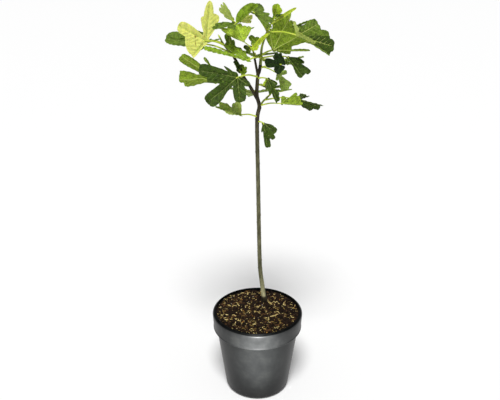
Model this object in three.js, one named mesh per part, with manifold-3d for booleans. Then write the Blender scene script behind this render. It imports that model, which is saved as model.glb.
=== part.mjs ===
// A young fig tree trained as a standard, in a round nursery pot of potting mulch.
// Millimetres, +Z up. The origin is the middle of the pot's flat underside.
import * as THREE from 'three';
import Module from 'manifold-3d';

const wasm = await Module();
wasm.setup();

const RAD = Math.PI / 180;
const GAP = 0.3; // left between pieces that touch

// ---- driving sizes ----

const pot = {
  height: 230,
  rimRadius: 120,
  rimDrop: 8,
  rimRound: 4,
  lipRadius: 111.5,
  bandHeight: 46,
  bandFootRadius: 118.5,
  shoulderRadius: 110,
  footRadius: 85,
  footRound: 12,
  wall: 2.5,
  floor: 3,
  innerBevel: 6,
  shelfDrop: 4,
};

const mulch = { edgeDrop: 9, crownRise: 1.7, crownRadius: 66, clear: 0.5 };
const groundLevel = pot.height + mulch.crownRise;

// Each limb is a smooth line through its guide points, thick at its start and thinner at its tip.
const limbs = {
  trunk: {
    guides: [[20, 42, 228], [13, 24, 290], [7, 14, 345], [4, 10, 420], [0, 8, 600], [-3, 8, 746],
      [2, 8, 786], [-4, 6, 815], [-2, 4, 861]],
    thick: [6, 4.2],
  },
  left: {
    guides: [[-4, 6, 806], [-18, 2, 832], [-34, 0, 857], [-42, 0, 877], [-57, 0, 904]],
    thick: [4, 3.2],
  },
  leftTip: { guides: [[-57, 0, 904], [-79, 0, 931], [-88, 0, 947]], thick: [2.8, 1.8] },
  top: { guides: [[-57, 0, 904], [-65, 8, 931], [-64, 10, 955], [-52, 5, 977]], thick: [2.6, 1.8] },
  middle: { guides: [[-2, 4, 861], [-6, 2, 882], [-10, 0, 903]], thick: [3, 2.4] },
  middleTip: { guides: [[-10, 0, 903], [-13, 0, 918], [-14, 0, 926]], thick: [2.2, 1.6] },
  right: { guides: [[-2, 4, 861], [2, 4, 873], [4, 4, 885]], thick: [4.2, 3.8] },
  rightTip: { guides: [[4, 4, 885], [5, 2, 905], [8, 0, 930], [20, 0, 964]], thick: [3.6, 2] },
  low: { guides: [[2, 8, 786], [12, 6, 800], [24, 4, 812]], thick: [2.6, 1.8] },
};
const rootFlare = { swell: 5, height: 14 };

// Steps along and sides round each kind of limb, and round a leaf's stalk and the pot.
const facets = { trunk: [32, 10], bough: [10, 8], shoot: [6, 6], stalk: 5, pot: 48 };

// The blade's notch is the angle from its midrib where the edge turns in to the stalk, and the
// rest are shares of its length or reach, but for the widest step between two cuts, in degrees.
const blade = { thickness: 1.3, notch: 176, widestStep: 40, narrowestStep: 6.5, ridge: 0.06 };
const neck = { share: 0.45, spread: 0.16 };
const stalkSize = { start: 1.7, end: 1.2, bow: 0.06, sink: 4 };

// Lobe: angle from the midrib, reach as a share of the blade's length, half width in degrees, and
// for some how blunt it is.
const fiveLobes = [[0, 1, 14], [50, 0.86, 13], [-50, 0.86, 13], [100, 0.5, 15], [-100, 0.5, 15]];
const threeLobes = [[0, 1, 18], [54, 0.8, 17], [-54, 0.8, 17]];
const youngLobes = [[0, 1, 26], [55, 0.6, 30], [-55, 0.6, 30]];

// How a blade is cut and bent where its row says nothing else: sinus is how deep the cuts stop,
// ears the angle where the basal ears fall away, point how blunt the lobes are, pinch how far
// they narrow at the neck, fold the rise of each half, and ripple and ripples its edge waves.
const plainTraits = {
  sinus: 0.38, ears: 90, point: 2.8, pinch: 4, fold: 14, twist: 0, ripple: 0.02, ripples: 5,
};

// A leaf's row: its name, the limb and how far up it grows, its stalk's heading, rise and length,
// its blade's heading, rise, roll about the midrib and length, then its lobes and its own traits.
function leaf(name, on, at, stalk, lie, lobes, traits = {}) {
  return { name, on, at, stalk, lie, lobes, ...plainTraits, ...traits };
}

const leaves = [
  // left tip
  leaf('pale', 'leftTip', 0.5, [-160, 15, 43], [-165, 30, 80, 72],
    [[0, 0.99, 18, 4], [-68, 1.2, 13, 2], [-84, 0.86, 16, 4], [-54, 0.74, 9, 5], [38, 0.69, 34, 10],
     [68, 0.66, 12, 6], [76, 0.7, 5, 2]], { sinus: 0.2, ears: 80, pinch: 0, fold: 6 }),
  leaf('behind_pale', 'leftTip', 0.15, [155, 12, 76], [165, 4, 45, 93],
    [[-2, 0.97, 20, 3], [50, 0.4, 18], [-50, 0.4, 18]], { sinus: 0.3 }),
  leaf('left_back', 'leftTip', 0.6, [125, -6, 70], [140, -12, -10, 76], fiveLobes),
  leaf('left_inner', 'leftTip', 0.2, [85, 15, 31], [140, 60, 45, 30],
    [[0, 1, 22], [50, 0.5, 20], [-50, 0.5, 20]], { pinch: 0, fold: 20 }),
  // top
  leaf('strip', 'top', 1, [-92, 5, 27], [-150, -5, 30, 59],
    [[4, 0.97, 13, 5], [-9, 0.8, 8, 4], [-19, 0.5, 9, 4], [42, 0.54, 22, 6], [58, 0.66, 8, 3]],
    { sinus: 0.15, ears: 60, fold: 20 }),
  leaf('folded', 'top', 1, [180, 45, 10], [170, 60, 55, 45],
    [[0, 0.98, 9, 3], [18, 0.97, 12, 5], [38, 1.02, 12, 5], [54, 0.66, 10, 4], [-8, 0.6, 10, 2]],
    { sinus: 0.15, ears: 60, pinch: 0, fold: 40 }),
  leaf('arching', 'top', 1, [-45, 25, 8], [-15, 40, -40, 58],
    [[0, 1.02, 34, 1.8]], { sinus: 0.2, ears: 60, pinch: 0, fold: 35, ripple: 0.03, ripples: 9 }),
  leaf('under_arch', 'top', 1, [30, 20, 11], [35, 20, 75, 36],
    [[10, 1.06, 16, 5], [29, 1.1, 9, 4], [-8, 0.8, 6, 3]], { sinus: 0.12, ears: 40, pinch: 0, fold: 10 }),
  leaf('top_back', 'top', 0.75, [86, -10, 62], [98, -10, -5, 80], fiveLobes),
  // middle
  leaf('heart', 'middleTip', 0.45, [-135, 40, 38], [135, 62, -115, 38],
    [[-43, 1.72, 7, 2], [-34, 1.4, 11, 4], [-18, 1.14, 15, 5], [2, 1.1, 15, 5], [22, 0.92, 15, 5],
     [42, 0.93, 13, 6]], { sinus: 0.1, ears: 50, pinch: 0, fold: 8 }),
  leaf('crimped', 'middleTip', 0.5, [-100, 20, 9], [-30, 45, -55, 60],
    [[-2, 1, 13, 1.4], [-20, 0.66, 15, 3], [-42, 0.55, 13, 4]],
    { sinus: 0.12, ears: 50, pinch: 0, fold: 22, ripple: 0.03, ripples: 9 }),
  leaf('middle_dark', 'middleTip', 0.6, [65, 30, 24], [165, 40, 65, 23], youngLobes, { pinch: 0 }),
  leaf('middle_small', 'middleTip', 0.6, [130, -15, 9], [170, 30, 75, 18], youngLobes,
    { pinch: 0, fold: 20 }),
  leaf('middle_back', 'middleTip', 0.2, [85, -12, 62], [90, -15, -5, 81], threeLobes),
  // right
  leaf('long_flat', 'rightTip', 0.3, [-130, 0, 44], [-165, 15, 15, 105],
    [[-4, 0.98, 12, 5], [-44, 0.6, 20, 4], [-66, 0.46, 14, 4], [30, 0.25, 16]],
    { sinus: 0.18, ears: 70, pinch: 3, fold: 8 }),
  leaf('great', 'rightTip', 0.36, [0, 25, 30], [0, 30, 70, 91],
    [[-38, 1.03, 7, 3], [-28, 0.86, 8, 4], [-46, 0.88, 11, 6], [-57, 0.76, 8, 5], [-73, 0.47, 22, 6],
     [-16, 0.72, 17, 6], [9, 0.94, 15, 8], [36, 0.98, 3.4, 3], [38, 0.49, 19, 10]],
    { sinus: 0.1, ears: 60, pinch: 2, fold: 6 }),
  leaf('far_right', 'rightTip', 0.95, [-24, -2, 74], [4, -32, -15, 87],
    [[2, 0.98, 12, 5], [17, 1.04, 15, 6], [34, 0.92, 14, 6], [60, 0.74, 18, 8], [73, 0.63, 10, 4],
     [130, 0.4, 10, 3], [-30, 0.5, 20]], { sinus: 0.24, ears: 100, pinch: 0, fold: 38 }),
  leaf('hanging', 'rightTip', 0.97, [160, 50, 53], [-35, -25, -25, 58],
    [[-12, 1.08, 12, 6], [8, 0.92, 12, 5], [26, 0.66, 14, 4], [80, 0.45, 44, 8]], { sinus: 0.15 }),
  leaf('upright', 'rightTip', 1, [0, 60, 29], [-40, 75, -125, 34],
    [[4, 0.97, 26, 5], [-22, 0.86, 20, 5]],
    { sinus: 0.2, ears: 60, pinch: 0, fold: 30, ripple: 0.03, ripples: 9 }),
  leaf('lime', 'rightTip', 1, [-57, 47, 21], [-17, 33, -73, 66],
    [[0, 1, 7, 1.8]], { sinus: 0.05, ears: 40, pinch: 0, fold: 30 }),
  leaf('cupped', 'rightTip', 1, [-43, 53, 35], [-12, 15, -38, 21],
    [[0, 1, 24, 3], [40, 0.5, 24, 3]], { sinus: 0.2, ears: 60, pinch: 0, fold: 24 }),
  leaf('right_hand', 'rightTip', 0.26, [15, 0, 64], [-50, -35, -25, 66],
    [[-5, 1, 8, 5], [14, 1.06, 9, 5], [4, 0.96, 9, 6], [30, 0.66, 10, 4], [42, 0.42, 8, 4],
     [-34, 0.38, 14, 6]], { sinus: 0.08, ears: 50 }),
  leaf('right_back', 'rightTip', 0.95, [60, -5, 80], [30, 5, 10, 78], fiveLobes),
  leaf('right_rear', 'rightTip', 0.9, [58, -4, 74], [40, -20, 10, 98], fiveLobes),
  leaf('right_deep', 'rightTip', 0.2, [60, -15, 84], [55, -10, 10, 78], fiveLobes),
  // low shoot
  leaf('low_right', 'low', 0.1, [-9, 7, 51], [-29, 5, 94, 56],
    [[-2, 0.98, 7, 4], [-15, 0.9, 14, 6], [-32, 0.83, 9, 4], [-68, 0.33, 30, 8]],
    { sinus: 0.08, ears: 40, fold: 8 }),
  leaf('low_dark', 'low', 0.6, [0, 1, 81], [-19, -10, -131, 61],
    [[0, 1, 5, 2], [-13, 0.87, 17, 6], [-36, 0.68, 18, 6], [-56, 0.48, 18, 5], [70, 0.6, 18, 6],
     [50, 0.7, 7, 2.5]], { sinus: 0.12, ears: 60, fold: 8 }),
  leaf('low_back', 'low', 0.8, [60, 10, 37], [65, -10, 0, 56], threeLobes),
  // single leaves on the boughs
  leaf('fan_left', 'left', 0.45, [-175, 0, 63], [-170, 0, -60, 87],
    [[6, 1.03, 14, 6], [-10, 0.9, 12, 5], [15, 1.04, 5, 3], [36, 1.21, 10, 5], [61, 0.78, 7, 2]],
    { sinus: 0.2, pinch: 7 }),
  leaf('left_curled', 'left', 0.65, [-130, 30, 8], [-160, 55, 65, 27], youngLobes,
    { pinch: 0, fold: 35, ripple: 0.06 }),
  leaf('left_light', 'left', 0.62, [-84, 5, 27], [60, 45, 150, 30],
    [[-22, 0.84, 10, 4], [-2, 0.7, 14, 4], [-55, 0.4, 20], [-146, 0.5, 10, 3], [20, 0.46, 12]],
    { sinus: 0.15, pinch: 0, fold: 20 }),
  leaf('left_rear', 'left', 0.5, [125, -20, 77], [145, -5, -10, 88], threeLobes),
  leaf('black', 'right', 0.7, [-18, 12, 51], [-145, 20, 80, 47],
    [[8, 1.02, 18, 5], [-34, 0.66, 20, 6], [-64, 0.57, 16, 6], [55, 0.55, 26, 6], [88, 0.42, 16, 4],
     [145, 0.3, 34, 8], [-150, 0.28, 34, 8]], { ears: 95, fold: 8 }),
  leaf('right_under', 'right', 0.85, [25, -25, 52], [-25, -60, 100, 46],
    [[-2, 0.93, 18, 5], [-21, 0.87, 11, 5], [14, 0.86, 9, 4], [-78, 0.46, 22, 6], [45, 0.35, 18, 5]],
    { sinus: 0.2, ears: 50, pinch: 3, fold: 10 }),
  // single leaves on the trunk
  leaf('front_dark', 'trunk', 0.99, [-125, 9, 80], [-150, -35, 55, 89],
    [[-1.5, 1.01, 15.5, 6], [-53, 0.99, 13.5, 5], [-36, 0.78, 8, 5], [52, 0.65, 23, 4], [101, 0.37, 18, 4],
     [-27, 0.54, 12], [-80, 0.44, 8, 3]], { sinus: 0.22, ears: 78, point: 3.5, fold: 8 }),
  leaf('fork_right', 'trunk', 0.98, [-48, 8, 33], [-35, -62, -50, 60],
    [[4, 0.95, 11, 4], [-1, 1.03, 4, 2], [14, 0.76, 7, 4], [36, 0.44, 17, 5], [-13, 0.64, 8, 4],
     [-28, 0.4, 14, 5], [-56, 0.3, 14, 4]], { sinus: 0.12, ears: 50 }),
  leaf('fork_rear', 'trunk', 0.94, [60, -18, 63], [65, -10, 5, 68], threeLobes),
  leaf('trunk_back', 'trunk', 0.89, [96, -13, 74], [98, -20, -5, 88], fiveLobes),
  leaf('low_left', 'trunk', 0.65, [-140, 15, 54], [-150, 25, 35, 66],
    [[8, 1.14, 12, 3], [-8, 0.93, 12, 4], [-18, 0.7, 9, 4], [24, 0.9, 11, 4], [-44, 0.48, 20, 5],
     [-76, 0.5, 24, 6]], { sinus: 0.16, ears: 80, fold: 20 }),
  leaf('lowest', 'trunk', 0.63, [-30, -5, 17], [-70, -75, -20, 64],
    [[7, 0.93, 11, 6], [20, 0.63, 7, 4], [30, 0.72, 11, 6], [50, 0.59, 16, 6], [66, 0.42, 11, 5],
     [-14, 0.36, 10, 4]], { sinus: 0.08, ears: 50 }),
];

// ---- small helpers ----

const vec = ([x, y, z]) => new THREE.Vector3(x, y, z);

function heading(azimuth, rise) {
  const flat = Math.cos(rise * RAD);
  return vec([Math.cos(azimuth * RAD) * flat, Math.sin(azimuth * RAD) * flat, Math.sin(rise * RAD)]);
}

// A point on the smooth line through the guide points, from 0 at the first to 1 at the last.
function pointOn(guides, share) {
  const spans = guides.length - 1;
  const place = Math.min(Math.max(share, 0), 1) * spans;
  const i = Math.min(Math.floor(place), spans - 1);
  const u = place - i;
  const b = vec(guides[i]);
  const c = vec(guides[i + 1]);
  const a = i > 0 ? vec(guides[i - 1]) : b.clone().multiplyScalar(2).sub(c);
  const d = i + 2 <= spans ? vec(guides[i + 2]) : c.clone().multiplyScalar(2).sub(b);
  const cubic = (p, q, r, s) => 0.5 * (2 * q + (r - p) * u + (2 * p - 5 * q + 4 * r - s) * u * u
    + (3 * q - p - 3 * r + s) * u * u * u);
  return new THREE.Vector3(cubic(a.x, b.x, c.x, d.x), cubic(a.y, b.y, c.y, d.y), cubic(a.z, b.z, c.z, d.z));
}

function solidFrom(points, triangles) {
  const mesh = new wasm.Mesh({
    numProp: 3,
    vertProperties: new Float32Array(points.flatMap((p) => [p.x, p.y, p.z])),
    triVerts: new Uint32Array(triangles.flat()),
  });
  return new wasm.Manifold(mesh);
}

// A closed round tube through the stations, with a radius at each.
function tube(stations, radii, sides) {
  const points = [];
  const triangles = [];
  let across = new THREE.Vector3(1, 0, 0);
  stations.forEach((station, k) => {
    const before = stations[Math.max(k - 1, 0)];
    const after = stations[Math.min(k + 1, stations.length - 1)];
    const along = after.clone().sub(before).normalize();
    across = across.clone().sub(along.clone().multiplyScalar(across.dot(along)));
    if (across.length() < 0.1) across = new THREE.Vector3(0, 1, 0).cross(along);
    across.normalize();
    const third = along.clone().cross(across);
    for (let s = 0; s < sides; s += 1) {
      const turn = (2 * Math.PI * s) / sides;
      points.push(station.clone()
        .addScaledVector(across, radii[k] * Math.cos(turn))
        .addScaledVector(third, radii[k] * Math.sin(turn)));
    }
  });
  for (let k = 0; k < stations.length - 1; k += 1) {
    for (let s = 0; s < sides; s += 1) {
      const a = k * sides + s;
      const b = k * sides + ((s + 1) % sides);
      triangles.push([a, b, b + sides], [a, b + sides, a + sides]);
    }
  }
  const first = points.push(stations[0].clone()) - 1;
  const last = points.push(stations[stations.length - 1].clone()) - 1;
  const end = (stations.length - 1) * sides;
  for (let s = 0; s < sides; s += 1) {
    const next = (s + 1) % sides;
    triangles.push([first, next, s], [last, end + s, end + next]);
  }
  return solidFrom(points, triangles);
}

function named(name, geometry, color, roughness) {
  const mesh = new THREE.Mesh(geometry, new THREE.MeshStandardMaterial({ color, roughness, metalness: 0 }));
  mesh.name = name;
  return mesh;
}

function toMesh(name, solid, colour, roughness) {
  const made = solid.getMesh();
  const geometry = new THREE.BufferGeometry();
  geometry.setAttribute('position', new THREE.BufferAttribute(new Float32Array(made.vertProperties), 3));
  geometry.setIndex(new THREE.BufferAttribute(new Uint32Array(made.triVerts), 1));
  geometry.computeVertexNormals();
  return named(name, geometry, colour, roughness);
}

// The largest piece of a solid, without loose scraps and without sealed hollows.
function largestPiece(solid) {
  return solid.decompose().reduce((best, piece) => (piece.volume() > best.volume() ? piece : best));
}

// ---- limbs ----

// A limb as a solid, made thicker and longer by grow.
function limbSolid(name, [steps, sides], grow = 0) {
  const { guides, thick } = limbs[name];
  const stations = [];
  const radii = [];
  for (let k = 0; k <= steps; k += 1) {
    const share = k / steps;
    const station = pointOn(guides, share);
    const flare = name === 'trunk'
      ? rootFlare.swell * Math.exp(-Math.max(station.z - groundLevel, 0) / rootFlare.height)
      : 0;
    stations.push(station);
    radii.push(THREE.MathUtils.lerp(thick[0], thick[1], share) + flare + grow);
  }
  const last = stations.length - 1;
  const tipRun = stations[last].clone().sub(stations[last - 1]).normalize();
  stations[last].addScaledVector(tipRun, grow);
  return tube(stations, radii, sides);
}

// ---- leaves ----

// How far the blade reaches at an angle from its midrib, as a share of its length.
function reach(row, angle) {
  const side = Math.abs(angle);
  const ear = THREE.MathUtils.clamp((blade.notch - side) / (blade.notch - row.ears), 0.1, 1);
  const web = row.sinus * ear;
  return row.lobes.reduce((far, [axis, length, halfWidth, point = row.point]) => {
    const bump = Math.exp(-Math.LN2 * Math.abs((angle - axis) / halfWidth) ** point);
    return Math.max(far, web + (length - web) * bump);
  }, web);
}

// The angle moved towards its lobe's axis where the lobe has its neck.
function pinched(row, angle, share) {
  const axes = row.lobes.map(([axis]) => axis).sort((a, b) => a - b);
  const axis = axes.reduce((best, one) => (Math.abs(angle - one) < Math.abs(angle - best) ? one : best));
  const off = angle - axis;
  const beyond = off > 0
    ? Math.min(...axes.filter((a) => a > axis), 180)
    : Math.max(...axes.filter((a) => a < axis), -180);
  const part = Math.min((2 * Math.abs(off)) / Math.abs(beyond - axis), 1);
  const near = Math.exp(-(((share - neck.share) / neck.spread) ** 2));
  return angle - Math.sign(off) * row.pinch * Math.sin(Math.PI * part) * near;
}

function bladeAxes(row) {
  const [azimuth, rise, roll] = row.lie;
  const along = heading(azimuth, rise);
  const up = new THREE.Vector3(0, 0, 1).addScaledVector(along, -along.z).normalize();
  const side = up.clone().cross(along);
  const face = up.multiplyScalar(Math.cos(roll * RAD)).addScaledVector(side, Math.sin(roll * RAD));
  return { along, face, across: face.clone().cross(along) };
}

// A point of the folded, twisted blade, at an angle from its midrib and a share of its reach there.
function bladePoint(row, joint, axes, angle, share) {
  const length = row.lie[3];
  const out = share * reach(row, angle);
  const turned = pinched(row, angle, out) * RAD;
  const x = length * out * Math.cos(turned);
  const flat = length * out * Math.sin(turned);
  const wave = row.ripple * length * out * out * Math.sin(row.ripples * turned);
  const fold = row.fold * RAD * Math.tanh(Math.abs(flat) / (blade.ridge * length));
  const y = flat * Math.cos(fold) - Math.sign(flat) * wave * Math.sin(fold);
  const z = wave * Math.cos(fold) + Math.abs(flat) * Math.sin(fold);
  const twist = (row.twist * RAD * x) / length;
  return joint.clone()
    .addScaledVector(axes.along, x)
    .addScaledVector(axes.across, y * Math.cos(twist) - z * Math.sin(twist))
    .addScaledVector(axes.face, y * Math.sin(twist) + z * Math.cos(twist));
}

// The angles at which the blade is cut: the tip, shoulders and foot of each lobe, and the sinuses.
function cutAngles(row) {
  const wanted = [-blade.notch, blade.notch];
  row.lobes.forEach(([axis, , halfWidth]) => {
    [-1.5, -0.75, 0, 0.75, 1.5].forEach((step) => wanted.push(axis + step * halfWidth));
  });
  const sorted = wanted.filter((a) => Math.abs(a) <= blade.notch).sort((a, b) => a - b);
  const kept = [];
  sorted.forEach((angle) => {
    const last = kept[kept.length - 1];
    if (kept.length && angle - last < blade.narrowestStep) return;
    const gaps = kept.length ? Math.ceil((angle - last) / blade.widestStep) : 1;
    for (let k = 1; k < gaps; k += 1) kept.push(last + ((angle - last) * k) / gaps);
    kept.push(angle);
  });
  kept[kept.length - 1] = blade.notch;
  return kept;
}

// A thin closed blade: one sheet of points above the middle surface and one below it.
function bladeSolid(row, joint) {
  const axes = bladeAxes(row);
  const angles = cutAngles(row);
  const rings = row.twist ? [0, 0.5, 1] : [0, 1];
  const last = rings.length - 1;
  const points = [];
  const index = (i, k, lower) => (k === 0 ? 0 : 2 * (i * last + k)) + Number(lower);
  const half = blade.thickness / 2;
  points.push(joint.clone().addScaledVector(axes.face, half));
  points.push(joint.clone().addScaledVector(axes.face, -half));
  angles.forEach((angle) => {
    rings.slice(1).forEach((share) => {
      const here = bladePoint(row, joint, axes, angle, share);
      const outward = bladePoint(row, joint, axes, angle, share + 0.02).sub(here);
      const sideways = bladePoint(row, joint, axes, angle + 2, share)
        .sub(bladePoint(row, joint, axes, angle - 2, share));
      const normal = outward.cross(sideways).normalize();
      points.push(here.clone().addScaledVector(normal, half), here.clone().addScaledVector(normal, -half));
    });
  });
  const triangles = [];
  for (let i = 0; i < angles.length - 1; i += 1) {
    triangles.push([0, index(i, 1, false), index(i + 1, 1, false)]);
    triangles.push([1, index(i + 1, 1, true), index(i, 1, true)]);
    for (let k = 1; k < last; k += 1) {
      const upper = [[i, k], [i, k + 1], [i + 1, k + 1], [i + 1, k]].map(([n, m]) => index(n, m, false));
      const lower = upper.map((n) => n + 1);
      triangles.push([upper[0], upper[1], upper[2]], [upper[0], upper[2], upper[3]]);
      triangles.push([lower[0], lower[2], lower[1]], [lower[0], lower[3], lower[2]]);
    }
    const a = index(i, last, false);
    const b = index(i + 1, last, false);
    triangles.push([a, a + 1, b + 1], [a, b + 1, b]);
  }
  [[0, true], [angles.length - 1, false]].forEach(([i, flip]) => {
    for (let k = 0; k < last; k += 1) {
      const a = index(i, k, false);
      const b = index(i, k + 1, false);
      const wall = [[a, b, b + 1], [a, b + 1, a + 1]];
      triangles.push(...(flip ? wall.map((three) => three.reverse()) : wall));
    }
  });
  return solidFrom(points, triangles);
}

// A leaf: its blade, and its stalk from the middle of the limb to a little way under the blade.
function leafSolid(row) {
  const seat = pointOn(limbs[row.on].guides, row.at);
  const [azimuth, rise, length] = row.stalk;
  const joint = seat.clone().addScaledVector(heading(azimuth, rise), length);
  const bow = new THREE.Vector3(0, 0, stalkSize.bow * length);
  const middle = seat.clone().lerp(joint, 0.5).add(bow);
  const sunk = joint.clone().addScaledVector(bladeAxes(row).along, stalkSize.sink);
  const widths = [stalkSize.start, (stalkSize.start + stalkSize.end) / 2, stalkSize.end, stalkSize.end];
  const stalk = tube([seat, middle, joint, sunk], widths, facets.stalk);
  return stalk.add(bladeSolid(row, joint));
}

// ---- pot and mulch ----

const bandFoot = pot.height - pot.bandHeight;
const shelf = bandFoot + pot.wall;

// The wall's outer radius at a height below the band.
function bodyRadius(z) {
  return THREE.MathUtils.lerp(pot.footRadius, pot.shoulderRadius, z / bandFoot);
}

function arc(cx, cz, radius, from, to, steps) {
  return Array.from({ length: steps + 1 }, (_, k) => {
    const turn = (from + ((to - from) * k) / steps) * RAD;
    return [cx + radius * Math.cos(turn), cz + radius * Math.sin(turn)];
  });
}

function lathe(name, profile, colour, roughness) {
  const points = profile.map(([r, z]) => new THREE.Vector2(r, z));
  const geometry = new THREE.LatheGeometry(points, facets.pot);
  geometry.rotateX(Math.PI / 2);
  return named(name, geometry, colour, roughness);
}

// The inside of the pot from its floor up to the band, moved in by inset and up by lift.
function insideProfile(inset, lift) {
  const footRadius = bodyRadius(pot.floor) - pot.wall;
  return [
    [0, pot.floor],
    [footRadius - 2 * pot.innerBevel, pot.floor],
    [footRadius - pot.innerBevel, pot.floor + pot.innerBevel],
    [pot.shoulderRadius - pot.wall, shelf - pot.shelfDrop],
    [pot.lipRadius, shelf + pot.shelfDrop],
  ].map(([r, z]) => [Math.max(r - inset, 0), z + lift]);
}

function potMesh() {
  const foot = pot.footRound;
  const widest = pot.height - pot.rimDrop;
  const outer = [
    [0, 0],
    ...arc(bodyRadius(foot) - foot, foot, foot, -90, -6, 5),
    [pot.shoulderRadius, bandFoot],
    [pot.bandFootRadius - 1.5, bandFoot],
    [pot.bandFootRadius, bandFoot + 1.5],
    ...arc(pot.rimRadius - pot.rimRound, widest, pot.rimRound, 0, 65, 3),
    [pot.lipRadius + 1, pot.height],
    [pot.lipRadius, pot.height - 1],
  ];
  return lathe('pot', [...outer, ...insideProfile(0, 0).reverse()], 0x3e4041, 0.42);
}

function mulchMesh() {
  const profile = [
    ...insideProfile(mulch.clear, GAP),
    [pot.lipRadius - mulch.clear, pot.height - mulch.edgeDrop],
    [mulch.crownRadius, groundLevel],
    [0, groundLevel],
  ];
  return lathe('potting_mulch', profile, 0x3a281a, 0.95);
}

// ---- assembly ----

const tree = new THREE.Group();
tree.add(potMesh());
tree.add(mulchMesh());

const trunk = limbSolid('trunk', facets.trunk).trimByPlane([0, 0, 1], groundLevel + GAP);
tree.add(toMesh('trunk', trunk, 0x5c5334, 0.8));

// Trunk and boughs as keep-outs, grown by the gap that touching pieces keep.
const keepOut = {
  trunk: limbSolid('trunk', facets.trunk, GAP),
  left: limbSolid('left', facets.bough, GAP),
  middle: limbSolid('middle', facets.bough, GAP),
  right: limbSolid('right', facets.bough, GAP),
};

function clearOf(solid, keepOuts) {
  return largestPiece(keepOuts.reduce((rest, other) => rest.subtract(other), solid));
}

const boughs = [
  ['right', 'bough_right', ['trunk']],
  ['middle', 'bough_middle', ['trunk', 'right']],
  ['left', 'bough_left', ['trunk']],
];
boughs.forEach(([limb, name, others]) => {
  const solid = clearOf(limbSolid(limb, facets.bough), others.map((other) => keepOut[other]));
  tree.add(toMesh(name, solid, 0x4b4a2c, 0.8));
});

// Each mass is a shoot with its leaves, and the upper left one also keeps clear of the shoot beside it.
const masses = [
  ['leftTip', 'foliage_left', 0x5f7d35, []],
  ['top', 'foliage_top', 0x6f9a38, [limbSolid('leftTip', facets.shoot, GAP)]],
  ['middleTip', 'foliage_middle', 0x86aa3c, []],
  ['rightTip', 'foliage_right', 0x5b7c33, []],
  ['low', 'foliage_low', 0x6b8a3a, []],
];
masses.forEach(([limb, name, colour, beside]) => {
  const own = leaves.filter((row) => row.on === limb).map(leafSolid);
  const mass = own.reduce((sum, one) => sum.add(one), limbSolid(limb, facets.shoot));
  tree.add(toMesh(name, clearOf(mass, [...Object.values(keepOut), ...beside]), colour, 0.6));
});

// Leaves that grow straight from the trunk and the boughs.
leaves.filter((row) => row.on in keepOut).forEach((row) => {
  const solid = clearOf(leafSolid(row), Object.values(keepOut));
  tree.add(toMesh(`leaf_${row.name}`, solid, 0x44642c, 0.6));
});

export default tree;
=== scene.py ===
"""A young fig tree trained as a standard, in a round nursery pot of potting mulch.

Sizes are in millimetres and angles in degrees until a mesh is made, which is in metres. +Z is up,
the front is towards -Y, and the origin is the middle of the pot's flat underside.
"""
import math
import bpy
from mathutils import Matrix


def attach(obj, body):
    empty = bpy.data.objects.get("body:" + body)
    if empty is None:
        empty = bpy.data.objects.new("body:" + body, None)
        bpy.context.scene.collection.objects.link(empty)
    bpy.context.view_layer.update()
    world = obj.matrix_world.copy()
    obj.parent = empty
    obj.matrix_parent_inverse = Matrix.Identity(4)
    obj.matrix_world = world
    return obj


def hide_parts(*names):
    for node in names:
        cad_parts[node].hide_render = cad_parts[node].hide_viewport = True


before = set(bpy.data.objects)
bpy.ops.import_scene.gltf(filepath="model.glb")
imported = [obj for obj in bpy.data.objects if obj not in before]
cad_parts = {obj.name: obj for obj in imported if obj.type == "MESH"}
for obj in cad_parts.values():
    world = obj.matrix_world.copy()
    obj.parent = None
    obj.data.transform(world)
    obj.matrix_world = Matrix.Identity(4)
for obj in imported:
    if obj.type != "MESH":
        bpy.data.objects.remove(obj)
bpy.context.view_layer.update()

from types import SimpleNamespace

import bpy
import numpy as np
from mathutils import Vector, noise

MM = 0.001

# ---- driving sizes: the pot, limbs and blades have the same ones in the part's source ----

# Pot: the lip is the rim's inner edge, and the band is the wide collar below it. The shell is turned from
# a small hub, its foot is flat out to the flat radius, and its wall's rings begin at the first ring.
POT_HEIGHT = 230
RIM_RADIUS = 120
RIM_DROP = 8
RIM_ROUND = 8
LIP_RADIUS = 111.5
# How far below the rim's top the lip's near-black reaches, a painted dark reflection.
LIP_DROP = 3.4
BAND_HEIGHT = 46
BAND_FOOT_RADIUS = 118.5
SHOULDER_RADIUS = 110
FOOT_RADIUS = 85
FOOT_ROUND = 12
WALL = 2.5
FLOOR = 3
BAND_FOOT = POT_HEIGHT - BAND_HEIGHT
SHELF = BAND_FOOT + WALL
HUB_RADIUS = 4
FLAT_RADIUS = 40
FIRST_RING = 40
POT_SIDES = 144

# Mulch: level from the middle out to the crown radius, then falling to its edge at the wall.
GROUND = POT_HEIGHT + 1.7
MULCH_EDGE = POT_HEIGHT - 7.5
MULCH_RADIUS = LIP_RADIUS - 0.5
CROWN_RADIUS = 66

# Lumps in the mulch: height, width, and the layer of noise that each reads.
LUMPS = [(2.6, 16, 0), (1.2, 6, 3)]

# Bits of mulch: name, darkest and lightest colour, how many are cast, then length, width and thickness,
# each from and to, and how far a bit bends as a share of its length.
MULCH_BITS = [
    ("chips_dark", "#100A05", "#291A10", 800, (7, 17), (4, 9), (2, 4), 0.03),
    ("chips_brown", "#3A2615", "#62472C", 480, (5, 13), (2.5, 6), (1.2, 2.6), 0.05),
    ("chips_rust", "#8C5E26", "#C08A3E", 60, (5, 11), (2, 4), (1, 2), 0.05),
    ("slivers_straw", "#BEA565", "#F0DC98", 820, (5, 15), (1.1, 2.4), (0.6, 1.2), 0.02),
    ("slivers_tan", "#70592C", "#AC914F", 760, (4, 13), (1, 2.2), (0.6, 1.2), 0.02),
    ("crumbs_black", "#0D0905", "#20160D", 3600, (2, 5), (1.5, 4), (1.2, 2.6), 0.0),
    ("crumbs_pale", "#A59A86", "#DCD3C2", 70, (2, 4), (1.5, 3), (0.8, 1.6), 0.0),
]
BIT_SEED = 40
BIT_ROUGH = (0.6, 1.05)
BIT_PITCH = 0.22
BIT_ROLL = 0.35
STRAW_ENDS = [(19, -49), (54, -30)]
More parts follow.
